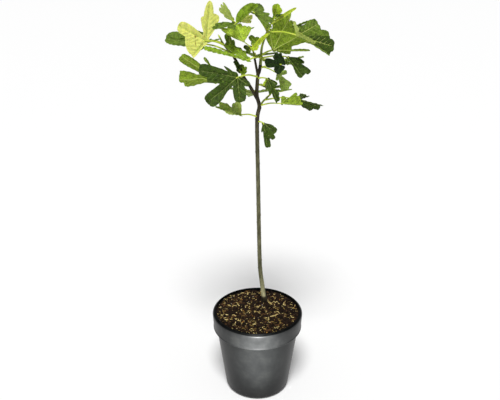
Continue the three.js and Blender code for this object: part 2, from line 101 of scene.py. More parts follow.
STRAW_RADIUS = 1.3

# Drifts: the share of the bed that a kind covers, how much that swings and its least, and how wide a
# drift is. Each kind reads its own layer of noise.
DRIFT_SHARE = 0.58
DRIFT_SWING = 0.9
DRIFT_LEAST = 0.1
DRIFT_WIDE = 22
DRIFT_LAYER = 10

# Limb: its guide points, and its radius at the start and at the end.
LIMBS = {
    "trunk": ([(20, 42, 228), (13, 24, 290), (7, 14, 345), (4, 10, 420), (0, 8, 600), (-3, 8, 746),
               (2, 8, 786), (-4, 6, 815), (-2, 4, 861)], 6, 4.2),
    "left": ([(-4, 6, 806), (-18, 2, 832), (-34, 0, 857), (-42, 0, 877), (-57, 0, 904)], 4, 3.2),
    "left_tip": ([(-57, 0, 904), (-79, 0, 931), (-88, 0, 947)], 2.8, 1.8),
    "top": ([(-57, 0, 904), (-65, 8, 931), (-64, 10, 955), (-52, 5, 977)], 2.6, 1.8),
    "middle": ([(-2, 4, 861), (-6, 2, 882), (-10, 0, 903)], 3, 2.4),
    "middle_tip": ([(-10, 0, 903), (-13, 0, 918), (-14, 0, 926)], 2.2, 1.6),
    "right": ([(-2, 4, 861), (2, 4, 873), (4, 4, 885)], 4.2, 3.8),
    "right_tip": ([(4, 4, 885), (5, 2, 905), (8, 0, 930), (20, 0, 964)], 3.6, 2),
    "low": ([(2, 8, 786), (12, 6, 800), (24, 4, 812)], 2.6, 1.8),
}
SHOOTS = ("left_tip", "top", "middle_tip", "right_tip", "low")
ROOT_SWELL = 3
ROOT_SWELL_HEIGHT = 14
LIMB_SIDES = 28
SHOOT_SIDES = 14
BARK_STEP = 1.5
SHOOT_STEP = 1.2
BARK_GRAIN = 3.5
BARK_ROUGH = 0.22
LEAF_TURN = 144

# Bud: its length and radius, and how it swells from foot to point.
TIP_BUD = (9, 2.1)
SIDE_BUD = (5, 1.2)
BUD_SWELL = (0.8, 1, 1.05, 1, 0.88, 0.7, 0.5, 0.28, 0.06)

# The notch is the angle from the midrib where the edge turns in to the stalk. The ridge is where the
# fold begins, and the neck is where a lobe narrows, as shares of the blade's length.
NOTCH = 176
RIDGE = 0.06
NECK_SHARE = 0.45
NECK_SPREAD = 0.16

# Stalk: its radius at the limb and at the blade, as the least and what a full blade adds.
STALK_START = (1.3, 0.9)
STALK_END = (0.9, 0.7)
STALK_BOW = 0.06
STALK_SINK = 4

# Blade: the length that veins and relief are sized for, the skin's thickness, the teeth of the edge,
# the rings of points, and how far the skin puffs up between the veins.
FULL_BLADE = 90
LEAF_THICK = 0.45
TOOTH_GAP = 7
TOOTH = 0.5
POINTS_A_TOOTH = 3
RING_GAP = 3
PUFF = 2.1

# Veins: radii at the start and the end on a full blade, how far out they go as a share of the blade's
# reach, the side veins' turn, gap and step, and how far a vein's or scar's middle is above the skin.
MAIN_VEIN = (1.25, 0.55)
SIDE_VEIN = (0.55, 0.25)
MAIN_VEIN_END = 0.94
SIDE_VEIN_END = 0.95
LAST_SIDE_VEIN = 0.9
SIDE_VEIN_TURN = 48
SIDE_VEIN_GAP = 11
SIDE_VEIN_STEP = 3
VEIN_LIFT = -0.1
SCAR_LIFT = 0.1

# Lobe: angle from the midrib, reach as a share of the blade's length, half width in degrees, and
# for some how blunt it is.
FIVE_LOBES = [(0, 1, 14), (50, 0.86, 13), (-50, 0.86, 13), (100, 0.5, 15), (-100, 0.5, 15)]
THREE_LOBES = [(0, 1, 18), (54, 0.8, 17), (-54, 0.8, 17)]
YOUNG_LOBES = [(0, 1, 26), (55, 0.6, 30), (-55, 0.6, 30)]

# Traits: how far the web between lobes reaches, the angle from which it falls off to the notch, how
# blunt the lobes are, how much their necks are pinched, the fold, and the waves' height and number.
PLAIN_TRAITS = dict(sinus=0.38, ears=90, point=2.8, pinch=4, fold=14, ripple=0.02, ripples=5)

# Scars: where each streak starts and ends, as an angle and a share of the blade's length, and its
# half width.
SCARS = [((-2, 0.4), (17, 0.36), 1.0), ((10, 0.42), (1, 0.31), 0.6), ((24, 0.338), (58, 0.39), 0.6),
         ((-50, 0.235), (-28, 0.1), 0.45)]

# Tone: the blade's upper side and its underside. The tones are partly the leaves' own greens, young to
# old, and partly painted light and shade: the black tone and some deep ones paint the shadow on leaves
# that lie in it, and paler tones are given to some shaded leaves as painted light.
DEEP, DULL, MID, YOUNG, LIME, FELTED, PALE, BLACK = (
    "deep", "dull", "mid", "young", "lime", "felted", "pale", "black")
TONES = {
    DEEP: ("#33440F", "#6F8236"),
    DULL: ("#52651F", "#76883E"),
    MID: ("#6F8622", "#738629"),
    YOUNG: ("#8DA42B", "#8CA132"),
    LIME: ("#AABE34", "#A5BA3C"),
    FELTED: ("#98A557", "#95A150"),
    PALE: ("#CCD06A", "#C2CA66"),
    BLACK: ("#1A2A0C", "#3C4A1C"),
}

# How much paler and darker a blade gets in patches: most blades, the two plainest, and the undersides.
VARY = 0.22
VARY_PLAIN = 0.08
VARY_UNDER = 0.16


def leaf(name, tone, limb, at, stalk, lie, lobes, **own):
    """A leaf's row: its limb and how far up it grows, its stalk's heading, rise and length, then its
    blade's heading, rise, roll about the midrib and length, its lobes and its own traits."""
    traits = {**PLAIN_TRAITS, **own}
    return SimpleNamespace(name=name, tone=tone, limb=limb, at=at, stalk=stalk, lie=lie, lobes=lobes,
                           length=lie[3], **traits)


LEAVES = [
    # left tip
    leaf("pale", PALE, "left_tip", 0.5, (-160, 15, 43), (-165, 30, 80, 72),
         [(0, 0.99, 18, 4), (-68, 1.2, 13, 2), (-84, 0.86, 16, 4), (-54, 0.74, 9, 5), (38, 0.69, 34, 10),
          (68, 0.66, 12, 6), (76, 0.7, 5, 2)],
         sinus=0.2, ears=80, fold=6, pinch=0),
    leaf("behind_pale", DULL, "left_tip", 0.15, (155, 12, 76), (165, 4, 45, 93),
         [(-2, 0.97, 20, 3), (50, 0.4, 18), (-50, 0.4, 18)], sinus=0.3),
    leaf("left_back", DULL, "left_tip", 0.6, (125, -6, 70), (140, -12, -10, 76), FIVE_LOBES),
    leaf("left_inner", DULL, "left_tip", 0.2, (85, 15, 31), (140, 60, 45, 30),
         [(0, 1, 22), (50, 0.5, 20), (-50, 0.5, 20)], pinch=0, fold=20),
    # top
    leaf("strip", DULL, "top", 1, (-92, 5, 27), (-150, -5, 30, 59),
         [(4, 0.97, 13, 5), (-9, 0.8, 8, 4), (-19, 0.5, 9, 4), (42, 0.54, 22, 6), (58, 0.66, 8, 3)],
         sinus=0.15, ears=60, fold=20),
    leaf("folded", FELTED, "top", 1, (180, 45, 10), (170, 60, 55, 45),
         [(0, 0.98, 9, 3), (18, 0.97, 12, 5), (38, 1.02, 12, 5), (54, 0.66, 10, 4), (-8, 0.6, 10, 2)],
         sinus=0.15, ears=60, fold=40, pinch=0),
    leaf("arching", MID, "top", 1, (-45, 25, 8), (-15, 40, -40, 58),
         [(0, 1.02, 34, 1.8)], sinus=0.2, ears=60, fold=35, pinch=0, ripple=0.03, ripples=9),
    leaf("under_arch", PALE, "top", 1, (30, 20, 11), (35, 20, 75, 36),
         [(10, 1.06, 16, 5), (29, 1.1, 9, 4), (-8, 0.8, 6, 3)], sinus=0.12, ears=40, fold=10, pinch=0),
    leaf("top_back", MID, "top", 0.75, (86, -10, 62), (98, -10, -5, 80), FIVE_LOBES),
    # middle
    leaf("heart", YOUNG, "middle_tip", 0.45, (-135, 40, 38), (135, 62, -115, 38),
         [(-43, 1.72, 7, 2), (-34, 1.4, 11, 4), (-18, 1.14, 15, 5), (2, 1.1, 15, 5), (22, 0.92, 15, 5),
          (42, 0.93, 13, 6)],
         sinus=0.1, ears=50, fold=8, pinch=0),
    leaf("crimped", LIME, "middle_tip", 0.5, (-100, 20, 9), (-30, 45, -55, 60),
         [(-2, 1, 13, 1.4), (-20, 0.66, 15, 3), (-42, 0.55, 13, 4)],
         sinus=0.12, ears=50, fold=22, pinch=0, ripple=0.03, ripples=9),
    leaf("middle_dark", MID, "middle_tip", 0.6, (65, 30, 24), (165, 40, 65, 23),
         YOUNG_LOBES, pinch=0),
    leaf("middle_small", DULL, "middle_tip", 0.6, (130, -15, 9), (170, 30, 75, 18),
         YOUNG_LOBES, pinch=0, fold=20),
    leaf("middle_back", DULL, "middle_tip", 0.2, (85, -12, 62), (90, -15, -5, 81), THREE_LOBES),
    # right
    leaf("long_flat", MID, "right_tip", 0.3, (-130, 0, 44), (-165, 15, 15, 105),
         [(-4, 0.98, 12, 5), (-44, 0.6, 20, 4), (-66, 0.46, 14, 4), (30, 0.25, 16)],
         sinus=0.18, ears=70, fold=8, pinch=3),
    leaf("great", MID, "right_tip", 0.36, (0, 25, 30), (0, 30, 70, 91),
         [(-38, 1.03, 7, 3), (-28, 0.86, 8, 4), (-46, 0.88, 11, 6), (-57, 0.76, 8, 5), (-73, 0.47, 22, 6),
          (-16, 0.72, 17, 6), (9, 0.94, 15, 8), (36, 0.98, 3.4, 3), (38, 0.49, 19, 10)],
         sinus=0.1, ears=60, fold=6, pinch=2),
    leaf("far_right", MID, "right_tip", 0.95, (-24, -2, 74), (4, -32, -15, 87),
         [(2, 0.98, 12, 5), (17, 1.04, 15, 6), (34, 0.92, 14, 6), (60, 0.74, 18, 8), (73, 0.63, 10, 4),
          (130, 0.4, 10, 3), (-30, 0.5, 20)],
         sinus=0.24, ears=100, fold=38, pinch=0),
    leaf("hanging", DULL, "right_tip", 0.97, (160, 50, 53), (-35, -25, -25, 58),
         [(-12, 1.08, 12, 6), (8, 0.92, 12, 5), (26, 0.66, 14, 4), (80, 0.45, 44, 8)], sinus=0.15),
    leaf("upright", YOUNG, "right_tip", 1, (0, 60, 29), (-40, 75, -125, 34),
         [(4, 0.97, 26, 5), (-22, 0.86, 20, 5)],
         sinus=0.2, ears=60, fold=30, pinch=0, ripple=0.03, ripples=9),
    leaf("lime", LIME, "right_tip", 1, (-57, 47, 21), (-17, 33, -73, 66),
         [(0, 1, 7, 1.8)], sinus=0.05, ears=40, fold=30, pinch=0),
    leaf("cupped", DEEP, "right_tip", 1, (-43, 53, 35), (-12, 15, -38, 21),
         [(0, 1, 24, 3), (40, 0.5, 24, 3)], sinus=0.2, ears=60, fold=24, pinch=0),
    leaf("right_hand", DEEP, "right_tip", 0.26, (15, 0, 64), (-50, -35, -25, 66),
         [(-5, 1, 8, 5), (14, 1.06, 9, 5), (4, 0.96, 9, 6), (30, 0.66, 10, 4), (42, 0.42, 8, 4),
          (-34, 0.38, 14, 6)], sinus=0.08, ears=50),
    leaf("right_back", DEEP, "right_tip", 0.95, (60, -5, 80), (30, 5, 10, 78), FIVE_LOBES),
    leaf("right_rear", MID, "right_tip", 0.9, (58, -4, 74), (40, -20, 10, 98), FIVE_LOBES),
    leaf("right_deep", DEEP, "right_tip", 0.2, (60, -15, 84), (55, -10, 10, 78), FIVE_LOBES),
    # low shoot
    leaf("low_right", MID, "low", 0.1, (-9, 7, 51), (-29, 5, 94, 56),
         [(-2, 0.98, 7, 4), (-15, 0.9, 14, 6), (-32, 0.83, 9, 4), (-68, 0.33, 30, 8)],
         sinus=0.08, ears=40, fold=8),
    leaf("low_dark", DEEP, "low", 0.6, (0, 1, 81), (-19, -10, -131, 61),
         [(0, 1, 5, 2), (-13, 0.87, 17, 6), (-36, 0.68, 18, 6), (-56, 0.48, 18, 5), (70, 0.6, 18, 6),
          (50, 0.7, 7, 2.5)], sinus=0.12, ears=60, fold=8),
    leaf("low_back", MID, "low", 0.8, (60, 10, 37), (65, -10, 0, 56), THREE_LOBES),
    # single leaves on the boughs
    leaf("fan_left", MID, "left", 0.45, (-175, 0, 63), (-170, 0, -60, 87),
         [(6, 1.03, 14, 6), (-10, 0.9, 12, 5), (15, 1.04, 5, 3), (36, 1.21, 10, 5), (61, 0.78, 7, 2)],
         sinus=0.2, pinch=7),
    leaf("left_curled", DEEP, "left", 0.65, (-130, 30, 8), (-160, 55, 65, 27),
         YOUNG_LOBES, pinch=0, fold=35, ripple=0.06),
    leaf("left_light", YOUNG, "left", 0.62, (-84, 5, 27), (60, 45, 150, 30),
         [(-22, 0.84, 10, 4), (-2, 0.7, 14, 4), (-55, 0.4, 20), (-146, 0.5, 10, 3), (20, 0.46, 12)],
         sinus=0.15, pinch=0, fold=20),
    leaf("left_rear", DEEP, "left", 0.5, (125, -20, 77), (145, -5, -10, 88), THREE_LOBES),
    leaf("black", BLACK, "right", 0.7, (-18, 12, 51), (-145, 20, 80, 47),
         [(8, 1.02, 18, 5), (-34, 0.66, 20, 6), (-64, 0.57, 16, 6), (55, 0.55, 26, 6), (88, 0.42, 16, 4),
          (145, 0.3, 34, 8), (-150, 0.28, 34, 8)], sinus=0.38, ears=95, fold=8),
    leaf("right_under", DULL, "right", 0.85, (25, -25, 52), (-25, -60, 100, 46),
         [(-2, 0.93, 18, 5), (-21, 0.87, 11, 5), (14, 0.86, 9, 4), (-78, 0.46, 22, 6), (45, 0.35, 18, 5)],
         sinus=0.2, ears=50, fold=10, pinch=3),
    # single leaves on the trunk
    leaf("front_dark", DEEP, "trunk", 0.99, (-125, 9, 80), (-150, -35, 55, 89),
         [(-1.5, 1.01, 15.5, 6), (-53, 0.99, 13.5, 5), (-36, 0.78, 8, 5), (52, 0.65, 23, 4),
          (101, 0.37, 18, 4), (-27, 0.54, 12), (-80, 0.44, 8, 3)],
         sinus=0.22, ears=78, fold=8, point=3.5),
    leaf("fork_right", DEEP, "trunk", 0.98, (-48, 8, 33), (-35, -62, -50, 60),
         [(4, 0.95, 11, 4), (-1, 1.03, 4, 2), (14, 0.76, 7, 4), (36, 0.44, 17, 5), (-13, 0.64, 8, 4),
          (-28, 0.4, 14, 5), (-56, 0.3, 14, 4)], sinus=0.12, ears=50),
    leaf("fork_rear", DEEP, "trunk", 0.94, (60, -18, 63), (65, -10, 5, 68), THREE_LOBES),
    leaf("trunk_back", DULL, "trunk", 0.89, (96, -13, 74), (98, -20, -5, 88), FIVE_LOBES),
    leaf("low_left", FELTED, "trunk", 0.65, (-140, 15, 54), (-150, 25, 35, 66),
         [(8, 1.14, 12, 3), (-8, 0.93, 12, 4), (-18, 0.7, 9, 4), (24, 0.9, 11, 4), (-44, 0.48, 20, 5),
          (-76, 0.5, 24, 6)], sinus=0.16, ears=80, fold=20),
    leaf("lowest", DEEP, "trunk", 0.63, (-30, -5, 17), (-70, -75, -20, 64),
         [(7, 0.93, 11, 6), (20, 0.63, 7, 4), (30, 0.72, 11, 6), (50, 0.59, 16, 6), (66, 0.42, 11, 5),
          (-14, 0.36, 10, 4)], sinus=0.08, ears=50),
]

# The main veins of blades that have fewer of them than lobes, as angles from the midrib.
RIBS = {
    "pale": (0, -68, 72), "behind_pale": (-2,), "strip": (5,), "folded": (18,), "under_arch": (15,),
    "heart": (-43, -5, 40), "crimped": (-2,), "long_flat": (-4, -44), "great": (0, -35, -73, 36),
    "far_right": (17, 60, 130), "hanging": (-6, 60), "upright": (0,), "right_hand": (0, -34),
    "low_right": (0, -45), "low_dark": (-14, 60), "fan_left": (3, 37, 61), "left_light": (-10,),
    "black": (8, -40, 55, 150), "right_under": (-5, -78), "front_dark": (-3, -51, 50, 97),
    "fork_right": (2, 36, -28), "low_left": (8, -76), "lowest": (5, 45),
}

# Blades that turn to other tones where they fold, as painted light and shade: a darker tone where a part
# lies in its own shade, a paler one where it faces the light, and far_right's pale underside where its
# edge curls. The tones, each with the angle that it ends at.
FOLD_LIGHT_SHADE_TONES = {
    "far_right": [(FELTED, -14), (DEEP, 33), (DULL, 104), (FELTED, NOTCH)],
    "fork_right": [(YOUNG, -42), (DEEP, NOTCH)],
}

FOLIAGE_NODES = (["foliage_" + part for part in ("left", "top", "middle", "right", "low")]
                 + ["leaf_" + row.name for row in LEAVES if row.limb not in SHOOTS])

# Camera, stage and lights, with places and radius in metres.
CAMERA_AT = (-0.020, -1.493, 1.180)
CAMERA_DOWN = 22.9
LENS = 46.8
STAGE_RADIUS = 40
ROOM_LIGHT = 0.24
LOW_LIGHT_WIDTH = 0.55


# ---- lines, tubes and meshes ----

def unit(rows):
    """Directions made one unit long."""
    return rows / np.linalg.norm(rows, axis=-1, keepdims=True)


def heading(azimuth, rise):
    """The direction at an angle round from +X and a rise above the level."""
    turn, lift = math.radians(azimuth), math.radians(rise)
    return np.array([math.cos(turn) * math.cos(lift), math.sin(turn) * math.cos(lift), math.sin(lift)])


def smooth_line(guides, shares):
    """Points on the smooth line through the guide points, from 0 at the first to 1 at the last."""
    guides = np.array(guides, float)
    spans = len(guides) - 1
    padded = np.vstack([2 * guides[0] - guides[1], guides, 2 * guides[-1] - guides[-2]])
    place = np.clip(shares, 0, 1) * spans
    i = np.minimum(place.astype(int), spans - 1)
    u = (place - i)[:, None]
    a, b, c, d = (padded[i + k] for k in range(4))
    return 0.5 * (2 * b + (c - a) * u + (2 * a - 5 * b + 4 * c - d) * u ** 2
                  + (3 * b - a - 3 * c + d) * u ** 3)


def limb_point(limb, at):
    """The point on a limb's line at a share of its way up."""
    return smooth_line(LIMBS[limb][0], np.array([at]))[0]


def run_of(line):
    """The distance along a line at each of its points."""
    steps = np.linalg.norm(np.diff(line, axis=0), axis=1)
    return np.concatenate([[0], np.cumsum(steps)])


def squares(line):
    """Two directions square to the line at each point, carried along it without spinning."""
    along = unit(np.gradient(line, axis=0))
    first = np.array([1.0, 0, 0]) if abs(along[0][0]) < 0.9 else np.array([0, 1.0, 0])
    across = np.empty_like(line)
    for k, direction in enumerate(along):
        first = unit(first - direction * (first @ direction))
        across[k] = first
    return across, np.cross(along, across)


def round_rings(line, radii, sides):
    """Points of rings round a line. The radii are one a ring, or one a point of each ring."""
    across, third = squares(line)
    turn = 2 * np.pi * np.arange(sides) / sides
    radii = np.broadcast_to(np.reshape(radii, (len(line), -1)), (len(line), sides))
    out = np.cos(turn)[None, :, None] * across[:, None] + np.sin(turn)[None, :, None] * third[:, None]
    return line[:, None] + radii[:, :, None] * out


class Bundle:
    """Points and faces of many small things, gathered for one joined mesh."""

    def __init__(self):
        self.points = []
        self.faces = []
        self.count = 0

    def add(self, points, faces):
        """Adds points, and faces that number them from 0."""
        self.points.append(np.asarray(points, float))
        self.faces += [[self.count + i for i in face] for face in faces]
        self.count += len(points)

    def tube(self, line, radii, sides):
        """A closed round tube along a line."""
        rings = round_rings(line, radii, sides).reshape(-1, 3)
        end = (len(line) - 1) * sides
        faces = []
        for s in range(sides):
            after = (s + 1) % sides
            faces += [[k + s, k + after, k + sides + after, k + sides + s] for k in range(0, end, sides)]
            faces.append([len(rings), after, s])
            faces.append([len(rings) + 1, end + s, end + after])
        self.add(np.vstack([rings, line[:1], line[-1:]]), faces)

    def piece(self, name):
        """The joined mesh, in metres, as an object at the origin."""
        mesh = bpy.data.meshes.new(name)
        mesh.from_pydata((np.vstack(self.points) * MM).tolist(), [], self.faces)
        mesh.update()
        mesh.shade_smooth()
        piece = bpy.data.objects.new(name, mesh)
        bpy.context.collection.objects.link(piece)
        return piece


def only(piece):
    """Makes one piece the only one selected, and the active one."""
    bpy.ops.object.select_all(action="DESELECT")
    piece.select_set(True)
    bpy.context.view_layer.objects.active = piece


def coords(piece):
    """The mesh's points, in millimetres."""
    flat = np.empty(len(piece.data.vertices) * 3)
    piece.data.vertices.foreach_get("co", flat)
    return flat.reshape(-1, 3) / MM


def put_coords(piece, points):
    """Moves the mesh's points, given in millimetres."""
    piece.data.vertices.foreach_set("co", (points * MM).ravel())
    piece.data.update()


def smooth_sides(piece, crease):
    """Rounds the shading, but for edges sharper than the crease."""
    only(piece)
    bpy.ops.object.shade_smooth_by_angle(angle=math.radians(crease))


def turned(name, profile, sides):
    """A profile of radius and height turned into a closed shell, ring by ring from a circle."""
    bpy.ops.object.select_all(action="DESELECT")
    radius, height = profile[0]
    bpy.ops.mesh.primitive_circle_add(vertices=sides, radius=radius * MM, fill_type="NOTHING")
    piece = bpy.context.object
    piece.name = name
    bpy.ops.object.mode_set(mode="EDIT")
    bpy.ops.mesh.select_mode(type="EDGE")
    bpy.ops.mesh.select_all(action="SELECT")
    bpy.ops.transform.translate(value=(0, 0, height * MM))
    for next_radius, next_height in profile[1:]:
        rise = (next_height - height) * MM
        bpy.ops.mesh.extrude_edges_move(TRANSFORM_OT_translate={"value": (0, 0, rise)})
        scale = next_radius / radius
        bpy.ops.transform.resize(value=(scale, scale, 1), center_override=(0, 0, next_height * MM))
        radius, height = next_radius, next_height
    bpy.ops.mesh.edge_face_add()
    bpy.ops.mesh.select_all(action="DESELECT")
    bpy.ops.mesh.select_non_manifold()
    bpy.ops.mesh.edge_face_add()
    bpy.ops.mesh.select_all(action="SELECT")
    bpy.ops.mesh.normals_make_consistent(inside=False)
    bpy.ops.object.mode_set(mode="OBJECT")
    return piece


def arc(radius, height, bend, start, end, steps):
    """Points of a profile round a bend whose middle is at the radius and height."""
    turns = np.radians(np.linspace(start, end, steps + 1))
    return [(radius + bend * math.cos(t), height + bend * math.sin(t)) for t in turns]


def finished(piece, slot, nodes, *materials):
    """Gives a piece its materials and the nodes that it stands for. The slot is not used."""
    for each in materials:
        piece.data.materials.append(each)
    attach(piece, "root")
    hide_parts(*nodes)


# ---- materials ----

# Sizes of the patterns. The mould's grain, the leaf's hairs and the net of its smallest veins are finer
# on the real ones, and are drawn as coarse as they need to show.
WATER_MARK = 28
SCUFF = 14
MOULD_GRAIN = 1.2
BARK_MOTTLE = 5
BARK_PORE = 4
LEAF_HAIR = 1.4
NET_CELL = 4

# Heights between which the painted shade on the trunk's foot fades out, and its bark turns to the dark
# newer kind.
FOOT_SHADE_HEIGHTS = (GROUND + 4, GROUND + 60)
NEWER_BARK = (620, 800)


def colour(code):
    """An sRGB hex colour as linear red, green, blue and alpha."""
    parts = [int(code[k:k + 2], 16) / 255 for k in (1, 3, 5)]
    return (*[c / 12.92 if c <= 0.04045 else ((c + 0.055) / 1.055) ** 2.4 for c in parts], 1)


def shade(code, factor):
    """A hex colour made darker or lighter."""
    parts = [min(int(int(code[k:k + 2], 16) * factor), 255) for k in (1, 3, 5)]
    return "#%02X%02X%02X" % tuple(parts)


def add(tree, kind, links=None, values=None, stops=None, **settings):
    """Adds a node with its settings, socket values, ramp stops and links."""
    made = tree.nodes.new(kind)
    for name, value in settings.items():
        setattr(made, name, value)
    for k, (place, code) in enumerate(stops or []):
        if k > 1:
            made.color_ramp.elements.new(1)
        made.color_ramp.elements[k].position = place
        made.color_ramp.elements[k].color = colour(code)
    for socket, value in (values or {}).items():
        made.inputs[socket].default_value = value
    for socket, source in (links or {}).items():
        tree.links.new(source, made.inputs[socket])
    return made


def begin(name, **values):
    """A new material with its shader, and the place on the piece that patterns read."""
    made = bpy.data.materials.new(name)
    made.use_nodes = True
    tree = made.node_tree
    tree.nodes.clear()
    sockets = {word.replace("_", " "): value for word, value in values.items()}
    shader = add(tree, "ShaderNodeBsdfPrincipled", values=sockets)
    add(tree, "ShaderNodeOutputMaterial", links={"Surface": shader.outputs[0]})
    place = add(tree, "ShaderNodeTexCoord").outputs["Object"]
    return made, tree, shader, place


def wire(tree, shader, **sources):
    """Links each source to the shader's socket of that name."""
    for word, source in sources.items():
        tree.links.new(source, shader.inputs[word.replace("_", " ")])


def scale_for(size):
    """The pattern scale whose grain is the size, in millimetres."""
    return 1 / (size * MM)


def pot_plastic():
    """Polypropylene, injection moulded and satin: a soft broad sheen and faint water marks, with the band
    painted paler than the body as painted light on the collar."""
    made, tree, shader, place = begin("moulded_polypropylene_grey", IOR=1.49, Specular_IOR_Level=0.2)
    marks = add(tree, "ShaderNodeTexNoise", {"Vector": place},
                {"Scale": scale_for(WATER_MARK), "Detail": 5, "Roughness": 0.62})
    height = add(tree, "ShaderNodeSeparateXYZ", {"Vector": place}).outputs["Z"]
    band = add(tree, "ShaderNodeMapRange", {"Value": height},
               {"From Min": (BAND_FOOT - 0.5) * MM, "From Max": (BAND_FOOT + 0.5) * MM, "To Max": 0.5})
    # Painted light: above its foot the band takes the paler stops of the ramp.
    band_painted_paler = add(tree, "ShaderNodeMath", {0: marks.outputs["Fac"], 2: band.outputs[0]}, {1: 0.5},
                 operation="MULTIPLY_ADD")
    tint = add(tree, "ShaderNodeValToRGB", {"Fac": band_painted_paler.outputs[0]},
               stops=[(0.15, "#161717"), (0.26, "#1B1C1C"), (0.36, "#222322"),
                      (0.65, "#242525"), (0.76, "#2C2D2D"), (0.86, "#363736")])
    gloss = add(tree, "ShaderNodeMapRange", {"Value": marks.outputs["Fac"]},
                {"To Min": 0.34, "To Max": 0.44})
    grain = add(tree, "ShaderNodeTexNoise", {"Vector": place},
                {"Scale": scale_for(MOULD_GRAIN), "Detail": 3})
    bump = add(tree, "ShaderNodeBump", {"Height": grain.outputs["Fac"]},
               {"Strength": 0.18, "Distance": 0.4 * MM})
    wire(tree, shader, Base_Color=tint.outputs["Color"], Roughness=gloss.outputs[0],
         Normal=bump.outputs["Normal"])
    return made


def pot_inside():
    """The pot's plastic on its inner side and along the lip, painted near black: painted shade on the
    inner side and a painted dark reflection along the lip. It is smooth, with light scuffs, and has so
    faint a sheen that the lip reads as a dark ring."""
    made, tree, shader, place = begin("polypropylene_painted_shade_black", IOR=1.49, Specular_IOR_Level=0.06)
    marks = add(tree, "ShaderNodeTexNoise", {"Vector": place}, {"Scale": scale_for(SCUFF), "Detail": 3})
    tint = add(tree, "ShaderNodeValToRGB", {"Fac": marks.outputs["Fac"]},
               stops=[(0.35, "#060707"), (0.7, "#101111")])
    gloss = add(tree, "ShaderNodeMapRange", {"Value": marks.outputs["Fac"]},
                {"To Min": 0.22, "To Max": 0.38})
    wire(tree, shader, Base_Color=tint.outputs["Color"], Roughness=gloss.outputs[0])
    return made


def wood_bits(name, low, high, size=6, roughness=0.85):
    """Shredded bark, straw, compost or dried leaf: rough and dull, with streaks of lighter fibre."""
    made, tree, shader, place = begin(name, IOR=1.5, Roughness=roughness, Specular_IOR_Level=0.15)
    streak = add(tree, "ShaderNodeTexNoise", {"Vector": place},
                 {"Scale": scale_for(size), "Detail": 4, "Roughness": 0.7})
    tint = add(tree, "ShaderNodeValToRGB", {"Fac": streak.outputs["Fac"]},
               stops=[(0.36, low), (0.66, high)])
    bump = add(tree, "ShaderNodeBump", {"Height": streak.outputs["Fac"]},
               {"Strength": 0.5, "Distance": 0.8 * MM})
    wire(tree, shader, Base_Color=tint.outputs["Color"], Normal=bump.outputs["Normal"])
    return made


def fig_bark():
    """Young fig bark, grown smooth: olive grey below, dark brown where it is newer, with pores, and
    painted shade darkening its foot."""
    made, tree, shader, place = begin("fig_bark", IOR=1.5, Roughness=0.72, Specular_IOR_Level=0.3)
    height = add(tree, "ShaderNodeSeparateXYZ", {"Vector": place}).outputs["Z"]
    stretch = add(tree, "ShaderNodeMapping", {"Vector": place}, {"Scale": (1, 1, 0.25)})
    mottle = add(tree, "ShaderNodeTexNoise", {"Vector": stretch.outputs[0]},
                 {"Scale": scale_for(BARK_MOTTLE), "Detail": 5, "Roughness": 0.65})
    low = add(tree, "ShaderNodeValToRGB", {"Fac": mottle.outputs["Fac"]},
              stops=[(0.34, "#3E3D27"), (0.52, "#5D5C41"), (0.7, "#7E7C5C")])
    high = add(tree, "ShaderNodeValToRGB", {"Fac": mottle.outputs["Fac"]},
               stops=[(0.34, "#17130B"), (0.52, "#2C2616"), (0.7, "#4B4427")])
    climb = add(tree, "ShaderNodeMapRange", {"Value": height},
                {"From Min": NEWER_BARK[0] * MM, "From Max": NEWER_BARK[1] * MM})
    bark_unshaded = add(tree, "ShaderNodeMix",
                {"Factor": climb.outputs[0], "A": low.outputs[0], "B": high.outputs[0]},
                data_type="RGBA")
    pores = add(tree, "ShaderNodeTexVoronoi", {"Vector": stretch.outputs[0]},
                {"Scale": scale_for(BARK_PORE)})
    spots = add(tree, "ShaderNodeMapRange", {"Value": pores.outputs["Distance"]},
                {"From Min": 0.1, "From Max": 0.24, "To Min": 1, "To Max": 0})
    # Painted shade: the foot is darkened to brown-black at the mulch, fading out upwards.
    foot_shade = add(tree, "ShaderNodeMapRange", {"Value": height},
                 {"From Min": FOOT_SHADE_HEIGHTS[0] * MM, "From Max": FOOT_SHADE_HEIGHTS[1] * MM, "To Min": 0.9, "To Max": 0})
    bark_with_foot_shade = add(tree, "ShaderNodeMix", {"Factor": foot_shade.outputs[0], "A": bark_unshaded.outputs["Result"]},
                 {"B": colour("#241B10")}, data_type="RGBA")
    bump = add(tree, "ShaderNodeBump", {"Height": mottle.outputs["Fac"]},
               {"Strength": 0.5, "Distance": 0.6 * MM})
    raised = add(tree, "ShaderNodeBump", {"Height": spots.outputs[0], "Normal": bump.outputs["Normal"]},
                 {"Strength": 0.5, "Distance": 0.4 * MM})
    wire(tree, shader, Base_Color=bark_with_foot_shade.outputs["Result"], Normal=raised.outputs["Normal"])
    return made


